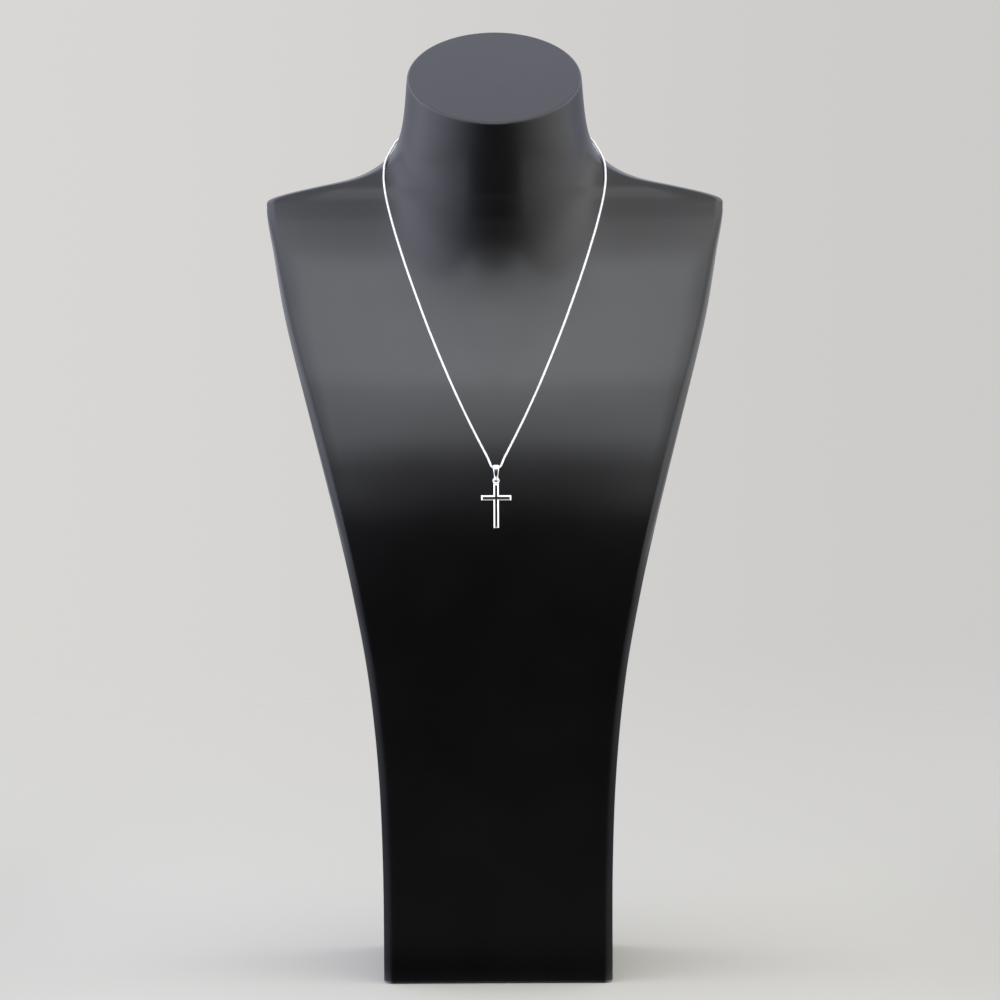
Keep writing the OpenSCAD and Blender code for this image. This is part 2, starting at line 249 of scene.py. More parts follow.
# %% [markdown]
# The rings of points stand close together, from half a millimetre at the shoulders, which turn sharply,
# to eight at the straight foot, so the satin paint shows no facets. Each ring spreads its points with a
# few along the side, many round the panel's corner and the rest across the front. The edge round the
# foot and the one round the neck's cut are small quarter rounds: a painted edge is never sharp, and the
# thin light line that it catches is seen in the photo. Just inside each edge a few more rings keep the
# flat ends truly flat in the shading. Each point also stores how much of an edge it is, which the paint
# uses for wear.

# %% The bust's mesh
RINGS_PER_ROW = 8
QUARTER_SIDES = 48
SIDE_SHARE, CORNER_SHARE = 1 / 9, 2 / 9
FOOT_EDGE, TOP_EDGE = 1.5, 1.2
EDGE_STEPS = 6
FLAT_INSETS = (0.3, 2, 12)
ROUND_POWER = 8


def quarter_angles(z):
    """Angles of the points over a quarter of a ring, spread evenly where the section is round."""
    row = section_at(z)
    panel_d = (row[BACK] - row[FRONT]) / 2 - row[SET_BACK]
    roundness = min(row[COLUMN] / row[HALF_W], 1.0) ** ROUND_POWER
    corner_start = math.atan2(max(panel_d - SIDE_EDGE, 0), row[HALF_W])
    corner_end = math.atan2(panel_d, row[HALF_W] - SIDE_EDGE)
    even_start = SIDE_SHARE * math.pi / 2
    even_end = even_start + CORNER_SHARE * math.pi / 2
    start = corner_start + (even_start - corner_start) * roundness
    end = corner_end + (even_end - corner_end) * roundness
    shares = (0, SIDE_SHARE, SIDE_SHARE + CORNER_SHARE, 1)
    return np.interp(np.arange(QUARTER_SIDES) / QUARTER_SIDES, shares, (0, start, end, math.pi / 2))


def bust_ring(z, inset=0.0):
    """The points round the bust at a height, drawn inwards by an inset."""
    quarter = quarter_angles(z)
    back = np.concatenate(([math.pi / 2], quarter[:0:-1]))
    half = np.concatenate((quarter, math.pi - back))
    return [skin(z, angle, inset) for angle in (*half, *(half + math.pi))]


edge_turns = [k / EDGE_STEPS * math.pi / 2 for k in range(EDGE_STEPS + 1)]
bust_rings = [bust_ring(0, FOOT_EDGE + inset) for inset in FLAT_INSETS[::-1]]
for t in edge_turns[:-1]:
    bust_rings.append(bust_ring(FOOT_EDGE * (1 - math.cos(t)), FOOT_EDGE * (1 - math.sin(t))))
knots = [FOOT_EDGE, *heights[1:-1], NECK_TOP - TOP_EDGE]
for low, high in zip(knots, knots[1:]):
    bust_rings += [bust_ring(low + (high - low) * k / RINGS_PER_ROW) for k in range(RINGS_PER_ROW)]
for t in edge_turns:
    bust_rings.append(bust_ring(NECK_TOP - TOP_EDGE * (1 - math.sin(t)), TOP_EDGE * (1 - math.cos(t))))
bust_rings += [bust_ring(NECK_TOP, TOP_EDGE + inset) for inset in FLAT_INSETS]
bust = mesh_object("neck_bust_shell", *ring_skin(bust_rings, close_ends=True))
print("bust faces:", len(bust.data.polygons))

# %% Where the bust's edges are
rounding = [math.sin(2 * t) for t in edge_turns]
flat_end = [0.0] * len(FLAT_INSETS)
side_rings = [0.0] * (len(bust_rings) - 2 * len(flat_end) - 2 * len(rounding) + 1)
ring_wear = [*flat_end, *rounding[:-1], *side_rings, *rounding, *flat_end]
end_middles = [0.0, 0.0]
edge_wear = bust.data.attributes.new("edge_wear", "FLOAT", "POINT")
edge_wear.data.foreach_set("value", [wear for wear in ring_wear for _ in bust_rings[0]] + end_middles)
print("rings of points:", len(ring_wear), "of them on edges:", sum(wear > 0 for wear in ring_wear))

# %% [markdown]
# ## The chain's path
# The chain lies on the chest in a V, leaves it just above the drop, turns through the bail, and goes
# round the neck behind. The path is drawn with the CAD's own rows, each a place on the skin, and the
# direction away from the skin is kept with it, because a box chain lies with one flat face outwards.
# The last link hooks into an end ring, so the path stops a little short of the CAD's.

# %% The chain's rows
CHAIN_R, SEAT_GAP = 0.55, 0.3
DROP_Z, DROP_FRONT, RELEASE_Z = 268.5, 45.6, 293.0
TURN_HALF, TURN_R, TURN_BACK, TURN_END, TURN_PLACES = 1.2, 1.6, 0.1, math.pi / 3, 7
# Each row is x on the chest or an angle in degrees at the nape, then the height and the extra gap.
CHEST_ROWS = [
    (4.1, 272.8, 0),
    (10, 284, 0),
    (16, 296, 0),
    (22.5, 310, 0),
    (28.6, 324, 0),
    (34.7, 339, 0),
    (40.3, 354, 0),
    (46, 370, 0.04),
    (50.9, 385, 0.08),
    (53.6, 394, 0.16),
    (56, 403, 0.2),
    (57.4, 410, 0.38),
    (58.2, 416, 0.52),
    (58.3, 420.8, 0.5),
]
NAPE_ROWS = [
    (-15.87, 425, 0.15),
    (-13.8, 427.3, 0.12),
    (-10, 429.4, 0.15),
    (-5, 431.4, 0.3),
    (2.5, 434, 0.2),
    (10, 436.6, 0.25),
    (20, 439.2, 0.3),
    (32, 441.6, 0.38),
    (47, 443.8, 0.3),
    (64, 445.5, 0.4),
]
NAPE_Z, NAPE_LIFT = 446.5, 0.42
CLASP_HALF, CLASP_GAP = 3.7, 0.2
LINK_SHORT = 1.5
print("rows for one side of the chain:", len(CHEST_ROWS) + len(NAPE_ROWS) + 1)

# %% Places on the skin and a smooth curve through them
HALVINGS, CURVE_STEPS = 40, 8


def front_angle(x, z):
    """Angle at which the front of the bust is x away from its middle, found by halving."""
    low, high = -math.pi / 2, 0.0
    for _ in range(HALVINGS):
        middle = (low + high) / 2
        low, high = (middle, high) if skin(z, middle)[0] < x else (low, middle)
    return low


def smooth_through(rows):
    """Points on a smooth curve through the rows, a few for each pair of rows."""
    rows = [np.asarray(row, float) for row in rows]
    padded = [2 * rows[0] - rows[1], *rows, 2 * rows[-1] - rows[-2]]
    points = []
    for a, b, c, d in zip(padded, padded[1:], padded[2:], padded[3:]):
        for k in range(CURVE_STEPS):
            t = k / CURVE_STEPS
            bend = (2 * a - 5 * b + 4 * c - d) * t**2 + (3 * b - a - 3 * c + d) * t**3
            points.append(0.5 * (2 * b + (c - a) * t + bend))
    return [*points, rows[-1]]


drop_lift = skin(DROP_Z, -math.pi / 2)[1] - CHAIN_R - SEAT_GAP + DROP_FRONT


def on_skin(angle, z, stand_off):
    """Where the chain's middle lies over the skin, with the direction out of the skin."""
    lift = drop_lift * ((RELEASE_Z - z) / (RELEASE_Z - DROP_Z)) ** 2 if z < RELEASE_Z else 0.0
    outward = skin_normal(z, angle)
    place = skin(z, angle) + outward * (CHAIN_R + SEAT_GAP + stand_off) + np.array((0, -lift, 0))
    return np.concatenate((place, outward))


print("at the drop the chain stands", round(drop_lift, 2), "mm further off the skin")

# %% The whole path
nape_angle = -front_angle(CLASP_HALF + CLASP_GAP, NAPE_Z)
hung_rows = [on_skin(front_angle(x, z), z, off) for x, z, off in CHEST_ROWS]
hung_rows += [on_skin(math.radians(angle), z, off) for angle, z, off in NAPE_ROWS]
hung_rows += [on_skin(nape_angle, NAPE_Z, NAPE_LIFT)]
right_half = [(0.0, -DROP_FRONT, DROP_Z, 0, -1, 0)]
for t in np.linspace(0, TURN_END, TURN_PLACES):
    turn_y = -DROP_FRONT + TURN_BACK * t / TURN_END
    turn_z = DROP_Z + TURN_R * (1 - math.cos(t))
    right_half.append((TURN_HALF + TURN_R * math.sin(t), turn_y, turn_z, 0, -1, 0))
right_half += smooth_through(hung_rows)
path_end, before_end = np.array(right_half[-1]), np.array(right_half[-2])
last_step = float(np.linalg.norm((path_end - before_end)[:3]))
right_half[-1] = tuple(path_end + (before_end - path_end) * LINK_SHORT / last_step)
left_half = [(-p[0], p[1], p[2], -p[3], p[4], p[5]) for p in right_half[:0:-1]]
chain_path = np.array([*left_half, *right_half])
chain_length = float(np.linalg.norm(np.diff(chain_path[:, :3], axis=0), axis=1).sum())
print("chain length without its clasp:", round(chain_length, 1), "mm")

# %% [markdown]
# ## Helpers for node trees
# Materials and Geometry Nodes are both trees of nodes, each of which does one small thing and hands its
# result on. They are usually drawn with the mouse. Written down, they can be read from top to bottom,
# and these helpers keep a node to a line or two. An input takes either a plain value or another node's
# output, so the first helper does both, and the others make sums, soft steps, patches, mixed colours
# and bumps.

# %% Helpers for nodes and trees
def feed(socket, value):
    """Gives an input another node's output or a plain value. A plain colour is made opaque."""
    if isinstance(value, bpy.types.NodeSocket):
        socket.id_data.links.new(value, socket)
    else:
        socket.default_value = (*value, 1) if socket.type == "RGBA" else value


def set_inputs(node, **inputs):
    """Feeds inputs by their names, with _ for each space."""
    for label, value in inputs.items():
        feed(node.inputs[label.replace("_", " ")], value)


def add_node(tree, kind, settings=None, **inputs):
    """A new node with its settings and inputs."""
    node = tree.nodes.new(kind)
    for key, value in (settings or {}).items():
        setattr(node, key, value)
    set_inputs(node, **inputs)
    return node


def tree_socket(tree, label, kind, value=None, in_out="INPUT"):
    """Adds a named input or output to a whole tree, and returns Blender's identifier for it."""
    socket = tree.interface.new_socket(label, in_out=in_out, socket_type="NodeSocket" + kind)
    if value is not None:
        socket.default_value = value
    return socket.identifier


def node_material(name, color, roughness, metallic=0.0):
    """A material, its tree and its shader, on which what doesn't vary is set."""
    material = bpy.data.materials.new(name)
    material.use_nodes = True
    tree = material.node_tree
    shader = tree.nodes["Principled BSDF"]
    set_inputs(shader, Base_Color=color, Roughness=roughness, Metallic=metallic)
    return material, tree, shader


print("helpers for nodes, trees and materials ready")

# %% Helpers for sums, patches, colours and bumps
# These two nodes have a socket for each kind of value, so theirs are picked by number.
MIX_COLORS_IN, MIX_COLOR_OUT = (6, 7), 2
RANDOM_FLOAT_OUT = 1


def sums(tree, operation, *values):
    """One sum on numbers or on outputs of other nodes."""
    node = add_node(tree, "ShaderNodeMath", {"operation": operation})
    for socket, value in zip(node.inputs, values):
        feed(socket, value)
    return node.outputs[0]


def ramp(tree, value, start, end, low=0.0, high=1.0):
    """A number that goes smoothly from low to high while the value goes from start to end."""
    smooth = {"interpolation_type": "SMOOTHSTEP"}
    limits = {"From_Min": start, "From_Max": end, "To_Min": low, "To_Max": high}
    return add_node(tree, "ShaderNodeMapRange", smooth, Value=value, **limits).outputs["Result"]


def blotches(tree, scale, detail, stretch=(1, 1, 1), turn=(0, 0, 0)):
    """Soft random patches, scale of them to the metre, drawn out along an axis if asked."""
    place = tree.nodes.new("ShaderNodeTexCoord").outputs["Object"]
    spread = add_node(tree, "ShaderNodeMapping", Vector=place, Rotation=turn, Scale=stretch)
    noise = add_node(tree, "ShaderNodeTexNoise", Vector=spread.outputs[0], Scale=scale, Detail=detail)
    return noise.outputs["Fac"]


def two_colors(tree, share, first, second):
    """The first colour where the share is 0 and the second where it is 1."""
    mix = add_node(tree, "ShaderNodeMix", {"data_type": "RGBA"}, Factor=share)
    for number, color in zip(MIX_COLORS_IN, (first, second)):
        feed(mix.inputs[number], color)
    return mix.outputs[MIX_COLOR_OUT]


def bump(tree, height, distance, strength, settings=None, **inputs):
    """The surface's normal, tilted as if its height varied by a distance in metres."""
    inputs = {"Height": height, "Distance": distance, "Strength": strength, **inputs}
    return add_node(tree, "ShaderNodeBump", settings, **inputs).outputs["Normal"]


print("helpers for sums, patches, colours and bumps ready")

# %% [markdown]
# ## Worn silver
# Silver is never evenly bright. A cloth leaves hair-fine scratches in every direction, fingers leave
# faint cloudy marks, and hand polishing leaves the flats a little wavy, so that they reflect bent lines.
# One shader group makes all three for every silver piece, each as a value that varies over the surface.
# How fine the clouds are and how deep the marks go are the group's inputs, set in each material.

# %% The silver's shared wear
CLOUD_RANGE = (0.4, 0.68)
SCRATCH_SCALE, SCRATCH_STRETCH, SCRATCH_RANGE = 16000, (1, 1, 0.03), (0.64, 0.72)
SCRATCH_TURNS = ((0.3, 0.9, 0.2), (1.2, -0.4, 0.7), (-0.5, 0.2, 1.4))
WAVE_SCALE, WAVE_HEIGHT, SCRATCH_HEIGHT = 200, 0.00003, 0.000002

handling = bpy.data.node_groups.new("silver_handling", "ShaderNodeTree")
for label, value in {"Cloud Scale": 400, "Scratch Depth": 0.25, "Wave Depth": 1.0}.items():
    tree_socket(handling, label, "Float", value)
for label, kind in {"Clouds": "Float", "Scratches": "Float", "Normal": "Vector"}.items():
    tree_socket(handling, label, kind, in_out="OUTPUT")
asked = handling.nodes.new("NodeGroupInput").outputs
clouds = ramp(handling, blotches(handling, asked["Cloud Scale"], detail=3.0), *CLOUD_RANGE)
scratches = 0.0
for turn in SCRATCH_TURNS:
    drawn_out = blotches(handling, SCRATCH_SCALE, 1.0, SCRATCH_STRETCH, turn)
    scratches = sums(handling, "MAXIMUM", scratches, ramp(handling, drawn_out, *SCRATCH_RANGE))
waves = bump(handling, blotches(handling, WAVE_SCALE, detail=0.0), WAVE_HEIGHT, asked["Wave Depth"])
inwards = {"invert": True}
scored = bump(handling, scratches, SCRATCH_HEIGHT, asked["Scratch Depth"], inwards, Normal=waves)
add_node(handling, "NodeGroupOutput", Clouds=clouds, Scratches=scratches, Normal=scored)
print("shared wear:", handling.name, "with", len(handling.nodes), "nodes")

# %% [markdown]
# The bail and the cross are polished like mirrors. The clasp lies against the neck and is handled each
# time, so it is plainer. Both materials place the group with their own values: the clouds darken the
# colour a little, and clouds and scratches dull the shine.

# %% Polished and plain silver
def silver_wear(tree, **values):
    """The shared wear placed in a material with its own values."""
    return add_node(tree, "ShaderNodeGroup", {"node_tree": handling}, **values).outputs


def silver_material(name, clean, tarnished, smooth, dull, **values):
    """Silver with the shared wear: clouded places are a little darker and duller."""
    material, tree, shader = node_material(name, clean, smooth, metallic=1.0)
    wear = silver_wear(tree, **values)
    worn = sums(tree, "MAXIMUM", wear["Clouds"], wear["Scratches"])
    set_inputs(
        shader,
        Base_Color=two_colors(tree, wear["Clouds"], clean, tarnished),
        Roughness=ramp(tree, worn, 0.0, 1.0, smooth, dull),
        Normal=wear["Normal"],
    )
    return material


silver = silver_material(
    "polished_silver",
    clean=(0.95, 0.945, 0.93),
    tarnished=(0.9, 0.885, 0.86),
    smooth=0.05,
    dull=0.13,
    Cloud_Scale=400,
    Scratch_Depth=0.25,
)
clasp_silver = silver_material(
    "plain_silver",
    clean=(0.86, 0.855, 0.84),
    tarnished=(0.77, 0.75, 0.71),
    smooth=0.2,
    dull=0.34,
    Cloud_Scale=700,
    Scratch_Depth=0.8,
)
print("silver:", silver.name, clasp_silver.name)

# %% [markdown]
# The chain adds one thing of its own. No two links are bent quite alike, so each has its own tone, a
# number that the tree below stores on it, and the tone sets how bright and how dull the link is.

# %% The chain's silver
BRIGHT_LINK, DIM_LINK = (0.95, 0.945, 0.93), (0.84, 0.83, 0.81)
SMOOTH_LINK, DULL_LINK = 0.14, 0.3
CLOUD_SHARE, TONE_SHARE = 0.4, 0.6

chain_silver, chain_tree, chain_shader = node_material(
    "chain_silver", BRIGHT_LINK, SMOOTH_LINK, metallic=1.0
)
chain_wear = silver_wear(chain_tree, Cloud_Scale=900, Scratch_Depth=0.4)
link_tone = add_node(chain_tree, "ShaderNodeAttribute", {"attribute_name": "link_tone"}).outputs["Fac"]
tone_part = sums(chain_tree, "MULTIPLY", link_tone, TONE_SHARE)
dimness = sums(chain_tree, "MULTIPLY_ADD", chain_wear["Clouds"], CLOUD_SHARE, tone_part)
set_inputs(
    chain_shader,
    Base_Color=two_colors(chain_tree, dimness, BRIGHT_LINK, DIM_LINK),
    Roughness=ramp(chain_tree, dimness, 0.0, 1.0, SMOOTH_LINK, DULL_LINK),
    Normal=chain_wear["Normal"],
)
print("material:", chain_silver.name)

# %% [markdown]
# ## The box links
# A box chain's link is a strip of wire bent round into a square loop. Each link hooks through the next
# one, turned a quarter round, so the chain is as wide as it is deep and its flats catch the light as a
# row of small mirrors. Eight hundred links are too many to place by hand or to copy one by one, so a
# Geometry Nodes tree does it: one link, a place for it at every step along the path, every second one
# turned, and at the end real geometry with its material.

# %% The link tree's inputs
LINK_SIZES = {
    "Link Width": 1.04,
    "Link Height": 1.04,
    "Band Width": 0.61,
    "Wire Thickness": 0.18,
    "Corner Radius": 0.14,
}
LINK_PITCH, CORNER_STEPS, TONE_SEED = 0.66, 2, 7
link_count = 2 * round(chain_length / LINK_PITCH / 2) + 1

link_tree = bpy.data.node_groups.new("box_chain", "GeometryNodeTree")
tree_socket(link_tree, "Geometry", "Geometry", in_out="OUTPUT")
tree_socket(link_tree, "Path", "Geometry")
for label, size in LINK_SIZES.items():
    tree_socket(link_tree, label, "Float", size * MM)
tree_socket(link_tree, "Link Count", "Int", link_count)
material_input = tree_socket(link_tree, "Material", "Material")
given = link_tree.nodes.new("NodeGroupInput").outputs


def link_node(*values, **inputs):
    return add_node(link_tree, *values, **inputs)


print("links:", link_count, "at a pitch of", round(chain_length / (link_count - 1), 3), "mm")

# %% One link inside the tree
across = sums(link_tree, "SUBTRACT", given["Link Width"], given["Wire Thickness"])
along = sums(link_tree, "SUBTRACT", given["Link Height"], given["Wire Thickness"])
square = link_node("GeometryNodeCurvePrimitiveQuadrilateral", Width=across, Height=along)
rounded = link_node(
    "GeometryNodeFilletCurve",
    {"mode": "POLY"},
    Curve=square.outputs["Curve"],
    Count=CORNER_STEPS,
    Radius=given["Corner Radius"],
)
profile = link_node(
    "GeometryNodeCurvePrimitiveQuadrilateral",
    Width=given["Wire Thickness"],
    Height=given["Band Width"],
)
link_mesh = link_node(
    "GeometryNodeCurveToMesh",
    Curve=rounded.outputs["Curve"],
    Profile_Curve=profile.outputs["Curve"],
)
upright = link_node(
    "GeometryNodeTransform",
    Geometry=link_mesh.outputs["Mesh"],
    Rotation=(math.pi / 2, 0, math.pi / 2),
)
print("one link is ready in the tree")

# %% [markdown]
# The path becomes a curve with evenly spaced points, one for each link. At its point a link is turned
# so that it stands across the path, then about the path until its flat face looks away from the skin,
# and every second one a quarter further.

# %% Where each link goes
path_curve = link_node("GeometryNodeMeshToCurve", Mesh=given["Path"])
steps = link_node(
    "GeometryNodeResampleCurve",
    {"mode": "COUNT"},
    Curve=path_curve.outputs["Curve"],
    Count=given["Link Count"],
)
tangent = link_tree.nodes.new("GeometryNodeInputTangent").outputs["Tangent"]
outward = link_node(
    "GeometryNodeInputNamedAttribute",
    {"data_type": "FLOAT_VECTOR"},
    Name="outward",
)
follow = link_node("FunctionNodeAlignRotationToVector", {"axis": "Z"}, Vector=tangent)
face_out = link_node(
    "FunctionNodeAlignRotationToVector",
    {"axis": "X", "pivot_axis": "Z"},
    Rotation=follow.outputs["Rotation"],
    Vector=outward.outputs["Attribute"],
)
number = link_tree.nodes.new("GeometryNodeInputIndex").outputs["Index"]
every_second = sums(link_tree, "MODULO", number, 2)
quarter_turn = sums(link_tree, "MULTIPLY", every_second, math.pi / 2)
about_path = link_node("ShaderNodeCombineXYZ", Z=quarter_turn)
turned = link_node(
    "FunctionNodeRotateRotation",
    {"rotation_space": "LOCAL"},
    Rotation=face_out.outputs["Rotation"],
    Rotate_By=about_path.outputs["Vector"],
)
print("each link has its place and turn")

# %% The links placed, toned and made real
placed = link_node(
    "GeometryNodeInstanceOnPoints",
    Points=steps.outputs["Curve"],
    Instance=upright.outputs["Geometry"],
    Rotation=turned.outputs["Rotation"],
)
tone = link_node("FunctionNodeRandomValue", {"data_type": "FLOAT"}, Seed=TONE_SEED)
toned = link_node(
    "GeometryNodeStoreNamedAttribute",
    {"data_type": "FLOAT", "domain": "INSTANCE"},
    Geometry=placed.outputs["Instances"],
    Name="link_tone",
    Value=tone.outputs[RANDOM_FLOAT_OUT],
)
real = link_node("GeometryNodeRealizeInstances", Geometry=toned.outputs["Geometry"])
finished = link_node(
    "GeometryNodeSetMaterial",
    Geometry=real.outputs["Geometry"],
    Material=given["Material"],
)
link_node("NodeGroupOutput", Geometry=finished.outputs["Geometry"])
print("tree nodes:", len(link_tree.nodes))

# %% [markdown]
# The path goes into the tree as a mesh that is only points and edges, with the outward direction
# stored on each point. Once the tree has run, its result is copied into a plain mesh and the modifier
# is left behind, so the piece holds nothing that a later program could not read.

# %% Run the tree
path_mesh = bpy.data.meshes.new("chain_path")
path_places = [tuple(MM * p[:3]) for p in chain_path]
path_mesh.from_pydata(path_places, [(i, i + 1) for i in range(len(path_places) - 1)], [])
outward_values = path_mesh.attributes.new("outward", "FLOAT_VECTOR", "POINT")
outward_values.data.foreach_set("vector", chain_path[:, 3:].astype(np.float32).ravel())
path_object = new_object("chain_path", path_mesh)
modifier = path_object.modifiers.new("box_chain", "NODES")
modifier.node_group = link_tree
modifier[material_input] = chain_silver


def plain_copy(piece):
    """What a piece's modifiers make of it, as a plain mesh."""
    evaluated = piece.evaluated_get(bpy.context.evaluated_depsgraph_get())
    return bpy.data.meshes.new_from_object(evaluated)


chain = new_object("box_chain", plain_copy(path_object))
bpy.data.objects.remove(path_object)
print("chain faces:", len(chain.data.polygons))

# %% [markdown]
# ## The end rings and the clasp
# Behind the neck an oval ring is soldered on to each end of the chain, and the spring ring hooks them
# together. None of this shows in the photo, so it is kept to the plainest kind. A ring is a circle of
# wire swept round a path, which one helper can make for the clasp, its eye, both ovals and the ring on
# the cross.

# %% Wire rings
RING_STEPS, WIRE_STEPS = 48, 16


def wire_ring(middle_r, wire, place, stretch=0.0, flat=False):
    """A ring of wire in the XZ plane, or flat in the XY plane, made an oval by a stretch along X."""
    rings = []
    for k in range(RING_STEPS):
        t = 2 * math.pi * k / RING_STEPS
        out = np.array((math.cos(t), 0, math.sin(t)))
        side = np.array((0, 1, 0))
        middle = middle_r * out + np.array((math.copysign(stretch, math.cos(t)), 0, 0))
        ring = [
            middle + wire / 2 * (out * math.cos(a) + side * math.sin(a))
            for a in (2 * math.pi * i / WIRE_STEPS for i in range(WIRE_STEPS))
        ]
        if flat:
            ring = [np.array((p[0], p[2], p[1])) for p in ring]
        rings.append([p + np.asarray(place) for p in ring])
    return ring_skin(rings, close_ends=False)


def joined_object(name, parts):
    """One object from several sets of points and faces."""
    points, faces = [], []
    for part_points, part_faces in parts:
        faces += [tuple(len(points) + i for i in face) for face in part_faces]
        points += list(part_points)
    return mesh_object(name, points, faces)


print("a ring has", RING_STEPS * WIRE_STEPS, "faces")

# %% Clasp and end rings
CLASP_D, CLASP_WIRE, EYE_D, EYE_WIRE = 5.4, 0.8, 2.2, 0.55
OVAL_R, OVAL_WIRE, OVAL_STRETCH, OVAL_X = 0.75, 0.45, 0.62, 3.95
nape = tuple(path_end[1:3])
clasp_middle, eye_middle = (CLASP_HALF - CLASP_D / 2, *nape), (EYE_D / 2 - CLASP_HALF, *nape)
clasp_ring = wire_ring((CLASP_D - CLASP_WIRE) / 2, CLASP_WIRE, clasp_middle)
clasp_eye = wire_ring((EYE_D - EYE_WIRE) / 2, EYE_WIRE, eye_middle)
clasp = joined_object("spring_ring", [clasp_ring, clasp_eye])
oval_middles = [(side * OVAL_X, *nape) for side in (-1, 1)]
oval_rings = [wire_ring(OVAL_R, OVAL_WIRE, middle, OVAL_STRETCH, flat=True) for middle in oval_middles]
ovals = joined_object("end_rings", oval_rings)
print("clasp and end rings at height", round(nape[1], 1), "mm")

# %% [markdown]
# ## The bail
# The bail is a tapered strip of silver bent into a closed oval over the chain and through the ring. It
# is made as the goldsmith makes it: a strip whose width changes along its length and whose outside is
# domed. A domed face shows a dark middle and bright edges, which is what tells polished silver from
# grey paint.

# %% The bail's sizes
BAIL_W, BAIL_WAIST_W, BAIL_LOW_W = 3.3, 2.15, 1.0
BAIL_SHEET, BAIL_DOME = 0.45, 0.24
BAIL_HOLLOW, BAIL_CHAIN_GAP, OVAL_FULLNESS = 2.5, 0.45, 2.4
BAIL_RING_GAP, WAIST_RISE, BAIL_EDGE = 0.08, 0.4, 0.07
SIDE_DROP, SIDE_NARROWER = 0.6, 0.2
CORNER_DROP, CROWN_NARROWER = 0.45, 0.5
BAIL_STEPS, DOME_STEPS = 96, 11
RING_Z, RING_D, RING_WIRE = 261.5, 3.7, 1.1
ring_hole_r = RING_D / 2 - RING_WIRE
strip_top_z = RING_Z + math.sqrt(ring_hole_r**2 - (BAIL_LOW_W / 2) ** 2) - BAIL_RING_GAP
bail_top_z = DROP_Z + CHAIN_R + BAIL_CHAIN_GAP
bail_waist_z = RING_Z + RING_D / 2 + WAIST_RISE
crown_z = bail_top_z + BAIL_SHEET
WIDTH_AT = [
    (strip_top_z - BAIL_SHEET, BAIL_LOW_W),
    (RING_Z + ring_hole_r, BAIL_LOW_W),
    (bail_waist_z, BAIL_WAIST_W),
    (DROP_Z - SIDE_DROP, BAIL_W - SIDE_NARROWER),
    (crown_z - CORNER_DROP, BAIL_W),
    (crown_z, BAIL_W - CROWN_NARROWER),
]
print("bail from", round(strip_top_z - BAIL_SHEET, 2), "to", round(crown_z, 2), "mm high")

# %% The bail's strip
def bail_path():
    """Places along the inner face of the strip, with the direction out of it."""
    half_d, half_h = BAIL_HOLLOW / 2, (bail_top_z - strip_top_z) / 2
    middle = np.array((0, -DROP_FRONT, strip_top_z + half_h))
    places = []
    for k in range(BAIL_STEPS):
        t = 2 * math.pi * (k + 0.5) / BAIL_STEPS
        c, s = math.cos(t), math.sin(t)
        y = math.copysign(abs(c) ** (2 / OVAL_FULLNESS), c)
        z = math.copysign(abs(s) ** (2 / OVAL_FULLNESS), s)
        slope_y = math.copysign(abs(y) ** (OVAL_FULLNESS - 1), y) / half_d
        slope_z = math.copysign(abs(z) ** (OVAL_FULLNESS - 1), z) / half_h
        out = np.array((0, slope_y, slope_z)) / math.hypot(slope_y, slope_z)
        places.append((middle + np.array((0, half_d * y, half_h * z)), out))
    return places


def bail_section(place, out):
    """One section across the strip: flat inside, domed outside, with its edges taken off."""
    half = np.interp((place + out * BAIL_SHEET)[2], *zip(*WIDTH_AT)) / 2
    dome = BAIL_DOME * min(1.0, half)
    inner = [(-half, BAIL_EDGE), (-half + BAIL_EDGE, 0), (half - BAIL_EDGE, 0), (half, BAIL_EDGE)]
    outer = []
    for u in np.linspace(1, -1, DOME_STEPS):
        rim = BAIL_EDGE if abs(u) == 1 else 0
        outer.append((half * u, BAIL_SHEET - dome * u * u - rim))
    return [place + out * height + np.array((x, 0, 0)) for x, height in inner + outer]


bail_rings = [bail_section(place, out) for place, out in bail_path()]
bail_piece = mesh_object("bail_strip", *ring_skin(bail_rings, close_ends=False))
print("bail faces:", len(bail_piece.data.polygons))

# %% [markdown]
# ## The cross
# The cross is cast, then filed: a wide bevel runs along every front edge and a narrow one behind, and
# a ring is soldered on top. Its outline has twelve corners, so the body is four outlines, one in front
# of the other, with the first and the last drawn inwards to leave the bevels. A fine bevel modifier
# then rounds each edge by a few hundredths of a millimetre, as polishing does.

# %% The cross
CROSS_H, CROSS_W, BAR_W, BAR_T, ARM_DROP = 22.9, 15.5, 2.7, 1.8, 7.3
BEVEL_W, BEVEL_DEPTH, BACK_BEVEL, RING_SUNK = 0.7, 0.55, 0.2, 0.35
CORNERS, POLISHED_EDGE = 12, 0.06
cross_top = RING_Z - RING_D / 2 + RING_SUNK
arm_z = cross_top - ARM_DROP


def cross_outline(y, inset):
    """The twelve corners at a depth, drawn inwards by an inset, from the top round to the right."""
    w, a = BAR_W / 2 - inset, CROSS_W / 2 - inset
    top, low = cross_top - inset, cross_top - CROSS_H + inset
    right = [(w, top), (w, arm_z + w), (a, arm_z + w), (a, arm_z - w), (w, arm_z - w), (w, low)]
    left = [(-x, z) for x, z in reversed(right)]
    return [np.array((x, -DROP_FRONT + y, z)) for x, z in right + left]


